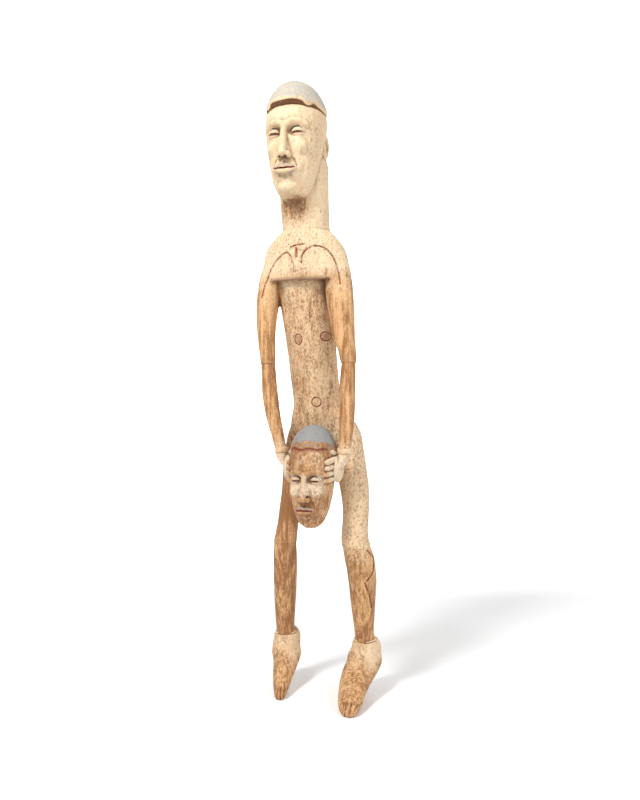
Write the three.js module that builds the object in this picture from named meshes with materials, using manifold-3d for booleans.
// A carved wooden ancestor figure. It stands on the balls of two pointed feet, leans a little
// forward and to its right, and holds a carved head before its hips with both hands.
//
// Units are millimetres. +Z is up, the figure faces -Y, and its own left side is +X. The origin
// is on the floor, below the middle of the figure.
//
// The carving is made up of blocks that meet at the crown, neck, elbows, wrists, knees and
// ankles. A wooden dowel holds each seam, and white lime filler closes the wrists and ankles.

import * as THREE from "three";
import { mergeVertices } from "three/addons/utils/BufferGeometryUtils.js";
import Module from "manifold-3d";

const wasm = await Module();
wasm.setup();

// ---------------------------------------------------------------- driving dimensions

const gap = 0.3; // left between two pieces that meet
const endGap = 1; // left past each end of a dowel

// Heights
const ankleLevel = 108; // bottom of the shin, above the floor
const shinLength = 216;
const thighLength = 226; // knee seam to hip joint
const waistLength = 340; // hip joint to the underside of the shoulders
const shoulderRise = 103; // underside of the shoulders to the neck seam
const neckLength = 58; // neck seam to chin
const faceHeight = 187; // chin to the rim of the hair cap
const capHeight = 61;
const upperArmLength = 176; // underside of the shoulders to the elbow seam
const wristDrop = 22; // wrist seam below the hip joint
const heldTopRise = 54; // top of the held head above the wrist seam
const heldHeight = 210;

const kneeLevel = ankleLevel + shinLength;
const hipLevel = kneeLevel + thighLength;
const chestLevel = hipLevel + waistLength;
const neckLevel = chestLevel + shoulderRise;
const chinLevel = neckLevel + neckLength;
const rimLevel = chinLevel + faceHeight;
const elbowLevel = chestLevel - upperArmLength;
const wristLevel = hipLevel - wristDrop;
const heldTop = wristLevel + heldTopRise;
const heldBottom = heldTop - heldHeight;

// Joint centres, as [x, y]. The two sides differ, as hand carving does.
const limbs = {
  left: {
    out: 1,
    hip: [58, 6],
    knee: [90, -25],
    ankle: [97, 18],
    shoulder: [52, -56],
    elbow: [86, -74],
    wrist: [81, -84],
  },
  right: {
    out: -1,
    hip: [-42, 6],
    knee: [-72, -25],
    ankle: [-87, 18],
    shoulder: [-88, -56],
    elbow: [-93, -74],
    wrist: [-59, -84],
  },
};
const pelvisCentre = [4, 10];
const waistTopCentre = [-28, -46];
const shoulderCentre = [-14, -60];
const neckCentre = [-11, -60];
const napeCentre = [-20, -78];
const rimCentre = [-23, -86];
const chinCentre = [-20, -108];
const heldTopCentre = [14, -82];
const heldChinCentre = [12, -97];

// Dowels, as radius and length
const dowels = {
  neck: { radius: 10, length: 90 },
  cap: { radius: 7, length: 50 },
  elbow: { radius: 5, length: 50 },
  wrist: { radius: 3.5, length: 26 },
  heldHead: { radius: 8, length: 56 },
  knee: { radius: 7, length: 70 },
  ankle: { radius: 6, length: 54 },
};

const socketDepth = 6; // how far the shin stands in the foot's collar
const collarWall = 5; // wood round the shin at the top of the collar
const ankleFiller = { height: 6, foot: 4.5, top: 1.5 }; // bead on the collar, round the shin
const wristFiller = { above: 13, below: 4, thick: 2.2, swell: 1 }; // sleeve over the wrist seam

// Sections of each limb, from its lower end to its upper end, as
// [share of the length, half width, half depth, shift along x, shift along y].
const sections = {
  waist: [
    [0, 24, 26, 0, -2],
    [0.06, 52, 42, 1],
    [0.14, 71, 48, 4],
    [0.22, 67, 49, 6],
    [0.28, 56, 48, 4],
    [0.36, 53, 47, 2],
    [0.5, 54, 47, 2],
    [0.72, 57, 48, 2],
    [0.9, 57, 47],
    [1, 38, 34],
  ],
  shoulders: [
    [0, 92, 51, 0, 6],
    [0.18, 96, 52, 0, 5],
    [0.44, 94, 51, -1, 3],
    [0.68, 85, 49, -2, 1],
    [0.85, 70, 47, -2],
    [0.94, 60, 46, -1],
    [1, 52, 46],
  ],
  neck: [
    [0, 51, 45],
    [0.35, 53.5, 47, 1],
    [0.7, 56, 51, 1],
    [1, 46, 44],
  ],
  face: [
    [0, 20, 24, 0, -4],
    [0.05, 34, 40, 0, -2],
    [0.18, 45, 52],
    [0.4, 54, 63],
    [0.65, 61, 71],
    [0.85, 63.5, 75],
    [1, 61, 69],
  ],
  cap: [
    [0, 62, 76],
    [0.3, 57, 71],
    [0.55, 49, 62],
    [0.75, 39, 50],
    [0.9, 26, 34],
    [0.97, 15, 20],
    [1, 7, 10],
  ],
  heldHead: [
    [0, 12, 14],
    [0.05, 25, 27],
    [0.18, 37, 43],
    [0.4, 45, 54],
    [0.65, 48, 58],
    [0.83, 44, 54],
    [0.95, 28, 36],
    [1, 11, 15],
  ],
};

const legSections = {
  left: {
    thigh: [
      [0, 31, 31],
      [0.07, 29.5, 30, -2],
      [0.17, 28, 29, 1],
      [0.32, 29, 31, 6],
      [0.5, 32, 34, 6],
      [0.75, 33, 38, 1],
      [0.9, 30, 37, 1],
      [1, 20, 26],
    ],
    shin: [
      [0, 21, 22],
      [0.17, 22, 23, 1],
      [0.41, 26.5, 28, 3, 3],
      [0.66, 30.5, 33, 5, 5],
      [0.89, 32.5, 33, 4, 2],
      [1, 30, 30],
    ],
    heel: [105, 50, 83],
    toe: [98, -126, 3],
    foot: [
      [0, 12, 13],
      [0.05, 25, 24],
      [0.15, 34, 30, -3],
      [0.3, 36, 31, -8],
      [0.5, 33, 27, -11],
      [0.7, 29, 20, -8],
      [0.85, 25, 15, -4],
      [0.94, 19, 11, -1],
      [1, 9, 6],
    ],
  },
  right: {
    thigh: [
      [0, 25.5, 26],
      [0.07, 24.5, 25.5],
      [0.17, 24, 25],
      [0.32, 24.5, 27, 1],
      [0.5, 27, 31, 1],
      [0.75, 31, 36],
      [0.9, 29, 35],
      [1, 20, 26],
    ],
    shin: [
      [0, 20, 21],
      [0.17, 21, 22, -1],
      [0.41, 24, 26, -2, 3],
      [0.66, 26, 29, -2, 5],
      [0.89, 26, 28, -1, 2],
      [1, 24.5, 25],
    ],
    heel: [-82, 47, 83],
    toe: [-64, -85, 3],
    foot: [
      [0, 10, 11],
      [0.05, 20, 21],
      [0.15, 27, 27, -1],
      [0.3, 28, 28, -3],
      [0.5, 25, 24, -4],
      [0.7, 20, 18, -3],
      [0.85, 15.5, 14, -1],
      [0.94, 12, 11],
      [1, 7, 6],
    ],
  },
};

const armSections = {
  left: {
    upper: [
      [0, 17, 18],
      [0.1, 18.5, 19],
      [0.25, 24, 22, -3],
      [0.45, 28, 25, -2],
      [0.65, 30, 27, -1],
      [0.85, 25, 26, 4],
      [1, 14, 18, 8],
    ],
    fore: [
      [0, 12.5, 14],
      [0.15, 14, 15, 1],
      [0.4, 16, 17, 2],
      [0.67, 17, 17.5, 0],
      [0.93, 15.5, 16.5],
      [1, 14.5, 15.5],
    ],
  },
  right: {
    upper: [
      [0, 16.5, 17.5],
      [0.1, 17.5, 18.5, -2],
      [0.25, 19.5, 21, -7],
      [0.45, 22.5, 24, -8],
      [0.65, 24.5, 26, -7],
      [0.85, 22, 25, -3],
      [1, 14, 18, 2],
    ],
    fore: [
      [0, 12, 13.5],
      [0.15, 13.5, 15, -2],
      [0.4, 16, 17, -6],
      [0.67, 17, 17.5, -5.5],
      [0.93, 15.5, 16.5, -1],
      [1, 14.5, 15.5],
    ],
  },
};

// Heel and instep lumps, as [place from the ankle, half sizes]
const footLumps = {
  left: [
    [[13, 17, -16], [20, 20, 27]],
    [[-8, -10, -32], [29, 26, 28]],
  ],
  right: [
    [[10, 17, -12], [19, 20, 30]],
    [[-2, -10, -32], [25, 25, 28]],
  ],
};

// How far the carving under each seam runs into its neighbour's block
const pelvisBelow = 48; // waist's wood below the hip joint
const shoulderOverlap = 45; // waist's wood above the underside of the shoulders
const armRoot = 55; // upper arm's top above the underside of the shoulders
const thighRoot = 40; // thigh's top above the hip joint
const collarDrop = 45; // collar's wood below the ankle seam

// Face blocks. Levels are shares of the face's height, and back is measured from its middle.
const napeShare = 0.7;
const nose = {
  tip: { share: 0.4, side: -1, front: 71 },
  top: { share: 0.76, side: 0, front: 70 },
  rows: [[0, 13, 13], [0.2, 12, 13], [0.6, 8, 9], [1, 6, 6]],
};
const ear = { share: 0.6, side: 57, back: 10, size: [7, 15, 25] };
const heldNose = {
  tip: { share: 0.34, side: -1, front: 60 },
  top: { share: 0.56, side: 0, front: 56 },
  rows: [[0, 11, 11], [0.25, 10, 10], [1, 5, 5]],
};

// Wrist stumps and foot collars, as [share, added half width, added half depth, share of the lean]
const stumpRows = [
  [0, -2, 4, 0],
  [0.35, -1, 2, 0.15],
  [0.65, 0, 1, 0.2],
  [1, 0, 0, 0],
];
const collarRows = [
  [0, 5, 7],
  [0.5, 4, 5],
  [0.85, 2, 2],
  [1, 0, 0],
];

// Seat of the held head, in front of the belly
const seat = {
  depth: 30, // the dowel starts this far behind the head's middle
  side: -3,
  below: 40, // under the height midway between the hip joint and the head's top
};

// Hands, carved on the sides of the held head
const hand = {
  drop: 34, // wrist seam to the middle of the palm
  palmLift: 6, // how far the palm's middle stands off the head's side
  palm: [11, 25, 29], // half sizes of the palm
  palmSetBack: 4, // palm centre behind the head's middle
  fingerRadius: 5.2,
  fingerPitch: 12.5,
  fingers: 4,
  fingerSlope: 8, // how far a fingertip lies below its root
  fingerFrom: -8, // degrees forward of the head's side
  fingerTo: 33,
};

// ---------------------------------------------------------------- shaping

const point = ([x, y], z) => new THREE.Vector3(x, y, z);

// A solid from a closed three.js geometry, and back.
function solid(geometry) {
  const bare = geometry.clone();
  bare.deleteAttribute("normal");
  bare.deleteAttribute("uv");
  const merged = mergeVertices(bare, 1e-3);
  const vertProperties = new Float32Array(merged.getAttribute("position").array);
  const triVerts = new Uint32Array(merged.index.array);
  return new wasm.Manifold(new wasm.Mesh({ numProp: 3, vertProperties, triVerts }));
}

function geometryOf(made) {
  const { numProp, vertProperties, triVerts } = made.getMesh();
  const places = [];
  for (let i = 0; i < vertProperties.length; i += numProp) {
    places.push(vertProperties[i], vertProperties[i + 1], vertProperties[i + 2]);
  }
  const geometry = new THREE.BufferGeometry();
  geometry.setAttribute("position", new THREE.Float32BufferAttribute(places, 3));
  geometry.setIndex([...triVerts]);
  geometry.computeVertexNormals();
  return geometry;
}

// A length of carving from a up to b, with level oval sections. grow makes every face stand out
// by that much, which gives the room that a neighbour needs.
function limbGeometry(a, b, rows, grow = 0, sides = 22) {
  const line = new THREE.CatmullRomCurve3(
    rows.map(([share, , , shiftX = 0, shiftY = 0]) =>
      new THREE.Vector3().lerpVectors(a, b, share).add(new THREE.Vector3(shiftX, shiftY, 0)),
    ),
  );
  const girth = new THREE.CatmullRomCurve3(
    rows.map(([, wide, deep]) => new THREE.Vector3(wide, deep, 0)),
  );
  const stepsPerRow = 2;
  const geometry = new THREE.CylinderGeometry(1, 1, 1, sides, stepsPerRow * (rows.length - 1));
  const places = geometry.getAttribute("position");
  for (let i = 0; i < places.count; i++) {
    const share = places.getY(i) + 0.5;
    const centre = line.getPoint(share);
    const size = girth.getPoint(share);
    places.setXYZ(
      i,
      centre.x + places.getX(i) * (size.x + grow),
      centre.y - places.getZ(i) * (size.y + grow),
      centre.z + (2 * share - 1) * grow,
    );
  }
  return geometry;
}

const limb = (a, b, rows, grow, sides) => solid(limbGeometry(a, b, rows, grow, sides));

// A limb that lies along its own line instead of standing on level sections, as a foot does.
function lyingLimb(a, b, rows, grow = 0) {
  const along = new THREE.Vector3().subVectors(b, a);
  const length = along.length();
  along.normalize();
  const across = new THREE.Vector3(1, 0, 0).addScaledVector(along, -along.x).normalize();
  const up = new THREE.Vector3().crossVectors(along, across);
  const turn = new THREE.Matrix4().makeBasis(across, up, along).setPosition(a);
  const upright = limbGeometry(
    new THREE.Vector3(0, 0, 0),
    new THREE.Vector3(0, 0, length),
    rows,
    grow,
  );
  return solid(upright.applyMatrix4(turn));
}

// A dowel centred on a seam, upright or along Y, and the hole that takes it.
function rod(centre, { radius, length }, lying = false, room = 0, endRoom = 0) {
  const sides = 16;
  const geometry = new THREE.CylinderGeometry(
    radius + room,
    radius + room,
    length + 2 * endRoom,
    sides,
  );
  if (!lying) geometry.rotateX(Math.PI / 2);
  geometry.translate(centre.x, centre.y, centre.z);
  return solid(geometry);
}

const hole = (centre, size, lying) => rod(centre, size, lying, gap, endGap);

function ellipsoid(centre, [x, y, z], sides = 20) {
  const geometry = new THREE.SphereGeometry(1, sides, sides / 2);
  geometry.scale(x, y, z);
  geometry.translate(centre.x, centre.y, centre.z);
  return solid(geometry);
}

// A round-ended bar between two points.
function bar(from, to, radius) {
  const geometry = new THREE.CapsuleGeometry(radius, from.distanceTo(to), 3, 8);
  const along = new THREE.Vector3().subVectors(to, from).normalize();
  const turn = new THREE.Quaternion().setFromUnitVectors(new THREE.Vector3(0, 1, 0), along);
  geometry.applyQuaternion(turn);
  const middle = new THREE.Vector3().lerpVectors(from, to, 0.5);
  geometry.translate(middle.x, middle.y, middle.z);
  return solid(geometry);
}

const join = (parts) => parts.reduce((whole, part) => whole.add(part));
const cut = (piece, ...tools) => tools.reduce((left, tool) => left.subtract(tool), piece);

// ---------------------------------------------------------------- joint centres

const neckSeam = point(neckCentre, neckLevel);
const rimSeam = point(rimCentre, rimLevel);
const seams = {};
for (const [side, joints] of Object.entries(limbs)) {
  seams[side] = {
    elbow: point(joints.elbow, elbowLevel),
    wrist: point(joints.wrist, wristLevel),
    knee: point(joints.knee, kneeLevel),
    ankle: point(joints.ankle, ankleLevel),
  };
}
const heldSeat = new THREE.Vector3(
  heldTopCentre[0] + seat.side,
  heldTopCentre[1] + seat.depth + dowels.heldHead.length / 4,
  (hipLevel + heldTop) / 2 - seat.below,
);

// ---------------------------------------------------------------- the held head and its hands

const heldHeadShape = (grow) =>
  limb(point(heldChinCentre, heldBottom), point(heldTopCentre, heldTop), sections.heldHead, grow, 28);

// A point on the held head's side at a height. Turn is in degrees forward of straight sideways.
function onHeldHead(out, turn, level, lift) {
  const share = (level - heldBottom) / heldHeight;
  const centre = new THREE.Vector3().lerpVectors(
    point(heldChinCentre, heldBottom),
    point(heldTopCentre, heldTop),
    share,
  );
  const rows = sections.heldHead;
  const above = rows.findIndex((row) => row[0] >= share);
  const [low, high] = [rows[above - 1], rows[above]];
  const part = (share - low[0]) / (high[0] - low[0]);
  const wide = low[1] + (high[1] - low[1]) * part + lift;
  const deep = low[2] + (high[2] - low[2]) * part + lift;
  const angle = THREE.MathUtils.degToRad(turn);
  return new THREE.Vector3(
    centre.x + out * wide * Math.cos(angle),
    centre.y - deep * Math.sin(angle),
    level,
  );
}

const palmLevel = wristLevel - hand.drop;

function palmShape(side, grow = 0) {
  const palmCentre = onHeldHead(limbs[side].out, 0, palmLevel, hand.palmLift);
  palmCentre.y += hand.palmSetBack;
  return ellipsoid(
    palmCentre,
    hand.palm.map((half) => half + grow),
  );
}

function wristStump(side, grow = 0) {
  const { out } = limbs[side];
  const top = seams[side].wrist.clone();
  top.z -= gap;
  const palmCentre = onHeldHead(out, 0, palmLevel, hand.palmLift);
  const [, wide, deep] = armSections[side].fore[0];
  const lean = top.x - palmCentre.x;
  const rows = stumpRows.map(([share, moreWide, moreDeep, leanShare]) => [
    share,
    wide + moreWide,
    deep + moreDeep,
    lean * leanShare,
  ]);
  return limb(palmCentre, top, rows, grow, 20);
}

function carvedHand(side) {
  const { out } = limbs[side];
  const parts = [wristStump(side), palmShape(side)];
  for (let i = 0; i < hand.fingers; i++) {
    const level = palmLevel + ((hand.fingers - 1) / 2 - i) * hand.fingerPitch;
    const rootLevel = level + hand.fingerSlope / 2;
    const tipLevel = level - hand.fingerSlope / 2;
    const root = onHeldHead(out, hand.fingerFrom, rootLevel, hand.palmLift / 2);
    const tip = onHeldHead(out, hand.fingerTo, tipLevel, hand.fingerRadius / 3);
    parts.push(bar(root, tip, hand.fingerRadius));
  }
  return join(parts);
}

// ---------------------------------------------------------------- limbs that more than one piece needs

function shinShape(side, grow) {
  const { ankle, knee } = seams[side];
  return limb(ankle, knee.clone().setZ(kneeLevel - gap), legSections[side].shin, grow);
}

function forearmShape(side, grow) {
  const { wrist, elbow } = seams[side];
  return limb(wrist, elbow.clone().setZ(elbowLevel - gap), armSections[side].fore, grow, 20);
}

// ---------------------------------------------------------------- the pieces

const woodTones = { colour: 0xc79a66, roughness: 0.82 };
const limeTones = { colour: 0xe2d3b8, roughness: 0.92 };
const greyTones = { colour: 0xa9aba9, roughness: 0.9 };
const dowelTones = { colour: 0xa9794a, roughness: 0.8 };

const figure = new THREE.Group();

function addPiece(name, made, { colour, roughness }) {
  const material = new THREE.MeshStandardMaterial({ color: colour, roughness, metalness: 0 });
  const mesh = new THREE.Mesh(geometryOf(made), material);
  mesh.name = name;
  figure.add(mesh);
}

function makeTrunk() {
  const waist = limb(
    point(pelvisCentre, hipLevel - pelvisBelow),
    point(waistTopCentre, chestLevel + shoulderOverlap),
    sections.waist,
  );
  const shoulders = limb(
    point(shoulderCentre, chestLevel),
    point(neckCentre, neckLevel - gap),
    sections.shoulders,
    0,
    32,
  );
  const parts = [waist, shoulders];
  for (const [side, joints] of Object.entries(limbs)) {
    const { elbow, knee } = seams[side];
    const shoulder = point(joints.shoulder, chestLevel + armRoot);
    parts.push(limb(elbow, shoulder, armSections[side].upper, 0, 20));
    parts.push(limb(knee, point(joints.hip, hipLevel + thighRoot), legSections[side].thigh));
  }
  return cut(
    join(parts),
    heldHeadShape(gap),
    hole(neckSeam, dowels.neck),
    hole(seams.left.elbow, dowels.elbow),
    hole(seams.right.elbow, dowels.elbow),
    hole(seams.left.knee, dowels.knee),
    hole(seams.right.knee, dowels.knee),
    hole(heldSeat, dowels.heldHead, true),
  );
}

// A nose block on a head whose middle is at centre, from its chin level up.
function noseBlock({ tip, top, rows }, tipCentre, topCentre, chin, height) {
  const place = ({ share, side, front }, [x], [, y]) =>
    point([x + side, y - front], chin + height * share);
  return limb(place(tip, tipCentre, topCentre), place(top, topCentre, topCentre), rows, 0, 12);
}

function makeHead() {
  const neck = limb(neckSeam, point(napeCentre, chinLevel + faceHeight * napeShare), sections.neck);
  const face = limb(
    point(chinCentre, chinLevel),
    point(rimCentre, rimLevel - gap),
    sections.face,
    0,
    28,
  );
  const earLevel = chinLevel + faceHeight * ear.share;
  const ears = [1, -1].map((out) => {
    const centre = point([rimCentre[0] + out * ear.side, rimCentre[1] + ear.back], earLevel);
    return ellipsoid(centre, ear.size, 16);
  });
  return cut(
    join([neck, face, noseBlock(nose, chinCentre, rimCentre, chinLevel, faceHeight), ...ears]),
    hole(neckSeam, dowels.neck),
    hole(rimSeam, dowels.cap),
  );
}

function makeCap() {
  const crown = rimSeam.clone().setZ(rimLevel + capHeight);
  return cut(limb(rimSeam, crown, sections.cap, 0, 28), hole(rimSeam, dowels.cap));
}

function makeHeldHead() {
  const front = noseBlock(heldNose, heldTopCentre, heldTopCentre, heldBottom, heldHeight);
  return cut(
    join([heldHeadShape(0), front, carvedHand("left"), carvedHand("right")]),
    hole(heldSeat, dowels.heldHead, true),
    hole(seams.left.wrist, dowels.wrist),
    hole(seams.right.wrist, dowels.wrist),
  );
}

function makeForearm(side) {
  const { elbow, wrist } = seams[side];
  return cut(forearmShape(side, 0), hole(elbow, dowels.elbow), hole(wrist, dowels.wrist));
}

function makeShin(side) {
  const { knee, ankle } = seams[side];
  return cut(shinShape(side, 0), hole(knee, dowels.knee), hole(ankle, dowels.ankle));
}

function ankleBead(side, grow) {
  const [, wide, deep] = legSections[side].shin[0];
  const { height, foot, top } = ankleFiller;
  const bottom = seams[side].ankle.clone().setZ(ankleLevel + socketDepth + gap);
  const rows = [
    [0, wide + foot, deep + foot],
    [0.5, wide + (foot + top) / 2, deep + (foot + top) / 2],
    [1, wide + top, deep + top],
  ];
  return limb(bottom, bottom.clone().setZ(bottom.z + height), rows, grow);
}

function makeFoot(side) {
  const { heel, toe, foot, shin } = legSections[side];
  const { ankle } = seams[side];
  const [, shinWide, shinDeep] = shin[0];
  const footBody = lyingLimb(new THREE.Vector3(...heel), new THREE.Vector3(...toe), foot);
  const collar = limb(
    ankle.clone().setZ(ankleLevel - collarDrop),
    ankle.clone().setZ(ankleLevel + socketDepth),
    collarRows.map(([share, moreWide, moreDeep]) => [
      share,
      shinWide + collarWall + moreWide,
      shinDeep + collarWall + moreDeep,
    ]),
  );
  const lumps = footLumps[side].map(([place, size]) =>
    ellipsoid(new THREE.Vector3(...place).add(ankle), size),
  );
  const floorSize = 2 * chestLevel;
  const floor = solid(
    new THREE.BoxGeometry(floorSize, floorSize, floorSize).translate(0, 0, -floorSize / 2),
  );
  return cut(
    join([footBody, collar, ...lumps]),
    floor,
    shinShape(side, gap),
    ankleBead(side, gap),
    hole(ankle, dowels.ankle),
  );
}

function makeAnkleFiller(side) {
  return cut(ankleBead(side, 0), shinShape(side, gap));
}

function makeWristFiller(side) {
  const { above, below, thick, swell } = wristFiller;
  const [, wide, deep] = armSections[side].fore[0];
  const { wrist } = seams[side];
  const rows = [
    [0, wide + thick, deep + thick],
    [0.5, wide + thick + swell, deep + thick + swell],
    [1, wide + thick, deep + thick],
  ];
  const sleeve = limb(
    wrist.clone().setZ(wristLevel - below),
    wrist.clone().setZ(wristLevel + above),
    rows,
    0,
    20,
  );
  return cut(
    sleeve,
    forearmShape(side, gap),
    wristStump(side, gap),
    palmShape(side, gap),
    heldHeadShape(gap),
  );
}

addPiece("trunk", makeTrunk(), woodTones);
addPiece("head_and_neck", makeHead(), limeTones);
addPiece("hair_cap", makeCap(), greyTones);
addPiece("held_head", makeHeldHead(), woodTones);
addPiece("neck_dowel", rod(neckSeam, dowels.neck), dowelTones);
addPiece("cap_dowel", rod(rimSeam, dowels.cap), dowelTones);
addPiece("held_head_dowel", rod(heldSeat, dowels.heldHead, true), dowelTones);
for (const [side, { elbow, wrist, knee, ankle }] of Object.entries(seams)) {
  addPiece(`forearm_${side}`, makeForearm(side), woodTones);
  addPiece(`shin_${side}`, makeShin(side), woodTones);
  addPiece(`foot_${side}`, makeFoot(side), woodTones);
  addPiece(`ankle_filler_${side}`, makeAnkleFiller(side), limeTones);
  addPiece(`wrist_filler_${side}`, makeWristFiller(side), limeTones);
  addPiece(`elbow_dowel_${side}`, rod(elbow, dowels.elbow), dowelTones);
  addPiece(`wrist_dowel_${side}`, rod(wrist, dowels.wrist), dowelTones);
  addPiece(`knee_dowel_${side}`, rod(knee, dowels.knee), dowelTones);
  addPiece(`ankle_dowel_${side}`, rod(ankle, dowels.ankle), dowelTones);
}

// Stand the figure on the floor, with the origin below its middle.
const bounds = new THREE.Box3().setFromObject(figure);
const middle = bounds.getCenter(new THREE.Vector3());
figure.position.set(-middle.x, -middle.y, -bounds.min.z);

const standing = new THREE.Group();
standing.add(figure);

export default standing;
